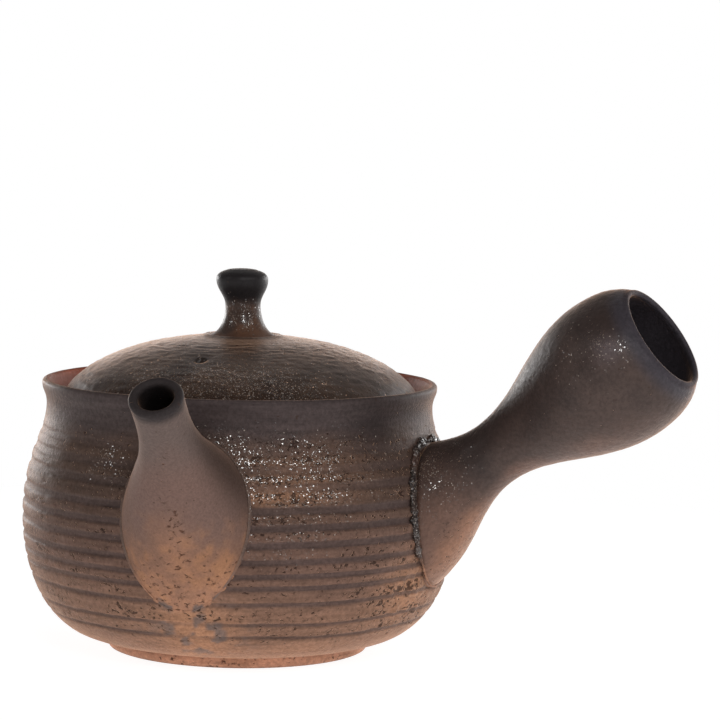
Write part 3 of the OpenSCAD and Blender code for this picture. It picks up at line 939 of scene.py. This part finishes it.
# %% [markdown]
# Ash fell on the front of the lid and melted there, and its two sides stayed dry.
# The clay is dark brown, a little tan towards the edge and greyer round the knob, and bare underneath.
# The vent's edge is pressed in here and painted dark, a painted shade, and its hole is cut in the next step.

# %% Lid marks
fired, ash, coarse = coats(lid_mesh)
lid_dark, lid_brown, lid_tan = clay("#2d1e16"), clay("#38271d"), clay("#554032")
lid_under, knob_shade, vent_painted_shade = clay("#7a5a49"), clay("#463730"), clay("#2a201c")
vent_bearing = math.radians(-82)
vent_spot = 29 * Vector((math.cos(vent_bearing), math.sin(vent_bearing), 0))


def from_vent(point):
    """Distance in millimetres from the vent's upright axis."""
    return (Vector((point.x, point.y, 0)) - vent_spot).length


for vert in lid_mesh.verts:
    x, y, z = point = vert.co / mm
    r = math.hypot(x, y)
    drift = rough(point, 10)
    colour = lid_under
    if vert.normal.z > 0.05 and z > seat_z + 0.5:
        rings = noise.noise(Vector((r / 1.3, 0.02 * x, 0.02 * y)))
        bark = noise.noise(Vector((r / 1.3, 0.35 * x, 0.35 * y)))
        sunk = 0.07 * (1 + rings) * (0.6 + 0.5 * rough((x, y, 0), 14))
        sunk += 0.13 * (1 + bark) * ease(r, 12, 24) + 0.03 * (1 + rough(point, 2.0))
        sunk += 0.45 * math.exp(-(from_vent(point) / 2.6) ** 2)
        vert.co -= vert.normal * sunk * mm
        # the clay is drawn up a little to meet the knob
        vert.co.z += 0.7 * math.exp(-max(0, r - knob_foot_r) / 1.6) * ease(r, 6, knob_foot_r) * mm
        colour = lid_dark.lerp(lid_brown, ease(drift, -0.5, 0.5))
        colour = colour.lerp(lid_tan, 0.5 * patch((r, drift), (34, 0.3), (9, 0.5)))
        colour = colour.lerp(knob_shade, 1 - ease(r, 10, 15))
        melted = 1.4 * patch((x, y), (19, -36), (24, 13)) * ease(r, 30, 38)
        melted += 0.2 * patch((x, y), (12, -28), (18, 9))
        dry = 1.6 * ease(abs(0.9 * x + 0.44 * y), 34, 43)
        vert[ash] = min(1, melted * (0.8 + 0.6 * rough(point, 5))) - dry
        vert[coarse] = 0.3 + 0.3 * drift
    # the vent's edge and wall are painted dark: a painted shade round the hole
    vert[fired] = colour.lerp(vent_painted_shade, 1 - ease(from_vent(point), 1.5, 2.6))
print("the vent lies", round(vent_spot.length), "mm from the knob's axis")

# %% [markdown]
# A small vent lets air in while the tea pours.
# The faces inside its outline go, the edge points are drawn onto a true circle, and the loops are bridged.

# %% Vent hole
vent_r = 1.45
vent_faces = [f for f in lid_mesh.faces if from_vent(f.calc_center_median() / mm) < vent_r]
bmesh.ops.delete(lid_mesh, geom=vent_faces, context="FACES")
vent_edges = [e for e in lid_mesh.edges if e.is_boundary]
for vert in {v for e in vent_edges for v in e.verts}:
    off = Vector((vert.co.x, vert.co.y, 0)) / mm - vent_spot
    place = vent_spot + off.normalized() * vent_r
    vert.co.x = place.x * mm
    vert.co.y = place.y * mm
bmesh.ops.bridge_loops(lid_mesh, edges=vent_edges)
finish_piece(lid_mesh, "lid_turned", "lid", ["lid_dome"], lid_finish)

# %% [markdown]
# The knob is a little spool, thrown on the lid with a wet sponge, so its head is smooth.
# Smoke carbon fired the head nearly black; the stem below it is brown, with a few glassy drops.

# %% Knob
knob_h = knob_top - dome_z
stem_r = 4.5
head_r = 6.6
stem_curve = bend((knob_foot_r, 0), (6.0, 0.03 * knob_h),
                  (stem_r, 0.24 * knob_h), (stem_r, 0.45 * knob_h), 30)
neck_curve = bend((stem_r, 0.45 * knob_h), (stem_r, 0.62 * knob_h),
                  (head_r, 0.67 * knob_h), (head_r, 0.84 * knob_h), 24)
head_curve = bend((head_r, 0.84 * knob_h), (head_r, 0.95 * knob_h), (4.1, knob_h), (0, knob_h), 24)
knob_curve = stem_curve + neck_curve[1:] + head_curve[1:]
knob_section = evenly([(0, dome_z), (knob_foot_r - 0.2, dome_z)], 2)
knob_section += evenly([(r, dome_z + h) for r, h in knob_curve], 0.3)
knob_mesh = spun(knob_section, 140)
fired, ash, coarse = coats(knob_mesh)
for vert in knob_mesh.verts:
    x, y, z = point = vert.co / mm
    height = (z - dome_z) / knob_h
    drift = rough(point, 5)
    if 0.02 < height < 0.98:
        vert.co -= vert.normal * (0.05 + 0.05 * drift) * mm
    vert.co += lean * ease(height, 0.1, 1)
    colour = clay("#44342d").lerp(clay("#5c4132"), ease(drift + 0.6 - height * 2, -0.2, 0.6))
    vert[fired] = colour.lerp(clay("#221e1f"), ease(height + 0.06 * drift, 0.46, 0.62))
    vert[ash] = min(1, 1.4 * patch((x, y, height), (2.2, -4, 0.3), (3.5, 3.5, 0.2)))
    vert[coarse] = 0.2 * (1 - ease(height, 0.3, 0.5))
finish_piece(knob_mesh, "knob_thrown", "lid", ["lid_knob"], knob_finish)

# %% [markdown]
# The strainer, the ledge and the lid's flange sit inside, where the solids already have the right shape.
# They keep their meshes and take the bare rust clay.

# %% Inner pieces
for name in ("strainer", "lid_gallery", "lid_flange"):
    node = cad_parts[name]
    node.data.materials.clear()
    node.data.materials.append(bare_finish)
    print(name, "keeps its solid")

# %% [markdown]
# The stage is a sheet of white paper that glows a little, as paper on a lit table does,
# and so warms the underside of the pot.
# The camera sees the sheet nearly white, and less so close to the pot, so that its soft shadow stays.

# %% Floor
floor_finish = bpy.data.materials.new("white_paper_sweep")
floor_finish.use_nodes = True
tree = floor_finish.node_tree
paper = tree.nodes["Principled BSDF"]
white = (1, 1, 1, 1)
fill(tree, paper, {"Base Color": clay("#f4f4f4"), "Roughness": 0.9,
                   "Emission Color": white, "Emission Strength": 0.7})
glow = add(tree, "Emission", {"Color": white, "Strength": 1.0})
seen = add(tree, "LightPath").outputs["Is Camera Ray"]
place = add(tree, "TexCoord").outputs["Object"]
spread = add(tree, "VectorMath", {0: place}, operation="LENGTH")
white_share = add(tree, "MapRange", {"Value": spread, 1: 0.08, 2: 0.3, 3: 0.75, 4: 1.0})
seen_white = add(tree, "Math", {0: seen, 1: white_share}, operation="MULTIPLY")
sheet = add(tree, "MixShader", {0: seen_white, 1: paper, 2: glow})
fill(tree, tree.nodes["Material Output"], {"Surface": sheet})
floor_mesh = bmesh.new()
bmesh.ops.create_grid(floor_mesh, x_segments=4, y_segments=4, size=6.0)
floor_data = bpy.data.meshes.new("floor")
floor_mesh.to_mesh(floor_data)
floor_mesh.free()
floor = bpy.data.objects.new("floor", floor_data)
scene.collection.objects.link(floor)
floor_data.materials.append(floor_finish)
print("the paper is", round(floor.dimensions.x), "m wide")

# %% [markdown]
# The world is a dim room with a bright low window behind the pot, a little to the right.
# It is plain white for the camera only: shown to the reflections too, as one does for metal and glass,
# it would wash out the satin lid, and this pot has no metal or glass.

# %% World
scene.view_settings.view_transform = "Standard"
brightest = heading - math.radians(20)
ahead = Vector((-math.sin(brightest), math.cos(brightest), 0))
world = bpy.data.worlds.new("studio")
scene.world = world
world.use_nodes = True
tree = world.node_tree
way = add(tree, "TexCoord").outputs["Generated"]
facing = add(tree, "VectorMath", {0: way, 1: ahead}, operation="DOT_PRODUCT")
height = add(tree, "SeparateXYZ", {0: way}).outputs["Z"]
behind = add(tree, "MapRange", {"Value": facing, 1: -0.1, 2: 0.6})
low_sky = add(tree, "MapRange", {"Value": height, 1: 0.14, 2: 0.26, 3: 1.0, 4: 0.1})
bright = add(tree, "Math", {0: behind, 1: low_sky}, operation="MULTIPLY")
daylight = add(tree, "MapRange", {"Value": bright, 3: 0.1, 4: 2.6})
seen = add(tree, "LightPath").outputs["Is Camera Ray"]
strength = add(tree, "Mix", {0: seen, 2: daylight, 3: 1.0}, data_type="FLOAT")
fill(tree, tree.nodes["Background"], {"Color": white, "Strength": strength})
print("the window is brightest towards", [round(v, 2) for v in ahead])

# %% [markdown]
# Five soft lamps do the rest. Three small ones in front make the drops of ash glint, each on its own side,
# and two low ones at the back draw a line of light along the left and right edges.

# %% Lamps
aim_at = Vector((0.02, 0, 0.05))


def soft_lamp(name, bearing, height, distance, size, power):
    """A square lamp aimed at the pot: degrees to the camera's right and up, metres, and watts."""
    lamp = bpy.data.lights.new(name, "AREA")
    lamp.size = size
    lamp.energy = power
    stand = bpy.data.objects.new(name, lamp)
    scene.collection.objects.link(stand)
    swing = Matrix.Rotation(heading + math.radians(bearing), 4, "Z")
    lift = Matrix.Rotation(math.radians(-height), 4, "X")
    spot = swing @ lift @ Vector((0, -distance, 0)) + aim_at
    aim = (aim_at - spot).to_track_quat("-Z", "Y")
    stand.matrix_world = Matrix.Translation(spot) @ aim.to_matrix().to_4x4()
    print(name, "at", [round(v, 2) for v in spot])


soft_lamp("front_lamp", 8, 33, 1.2, 0.28, 3.4)
soft_lamp("right_front_lamp", 50, 31, 1.2, 0.24, 2.2)
soft_lamp("left_front_lamp", -66, 30, 1.2, 0.2, 1.2)
soft_lamp("left_lamp", -145, 4, 1.3, 0.24, 3.8)
soft_lamp("right_lamp", 141, 9, 1.3, 0.5, 4)

# %% [markdown]

# %% Finish
print("the scene is built")
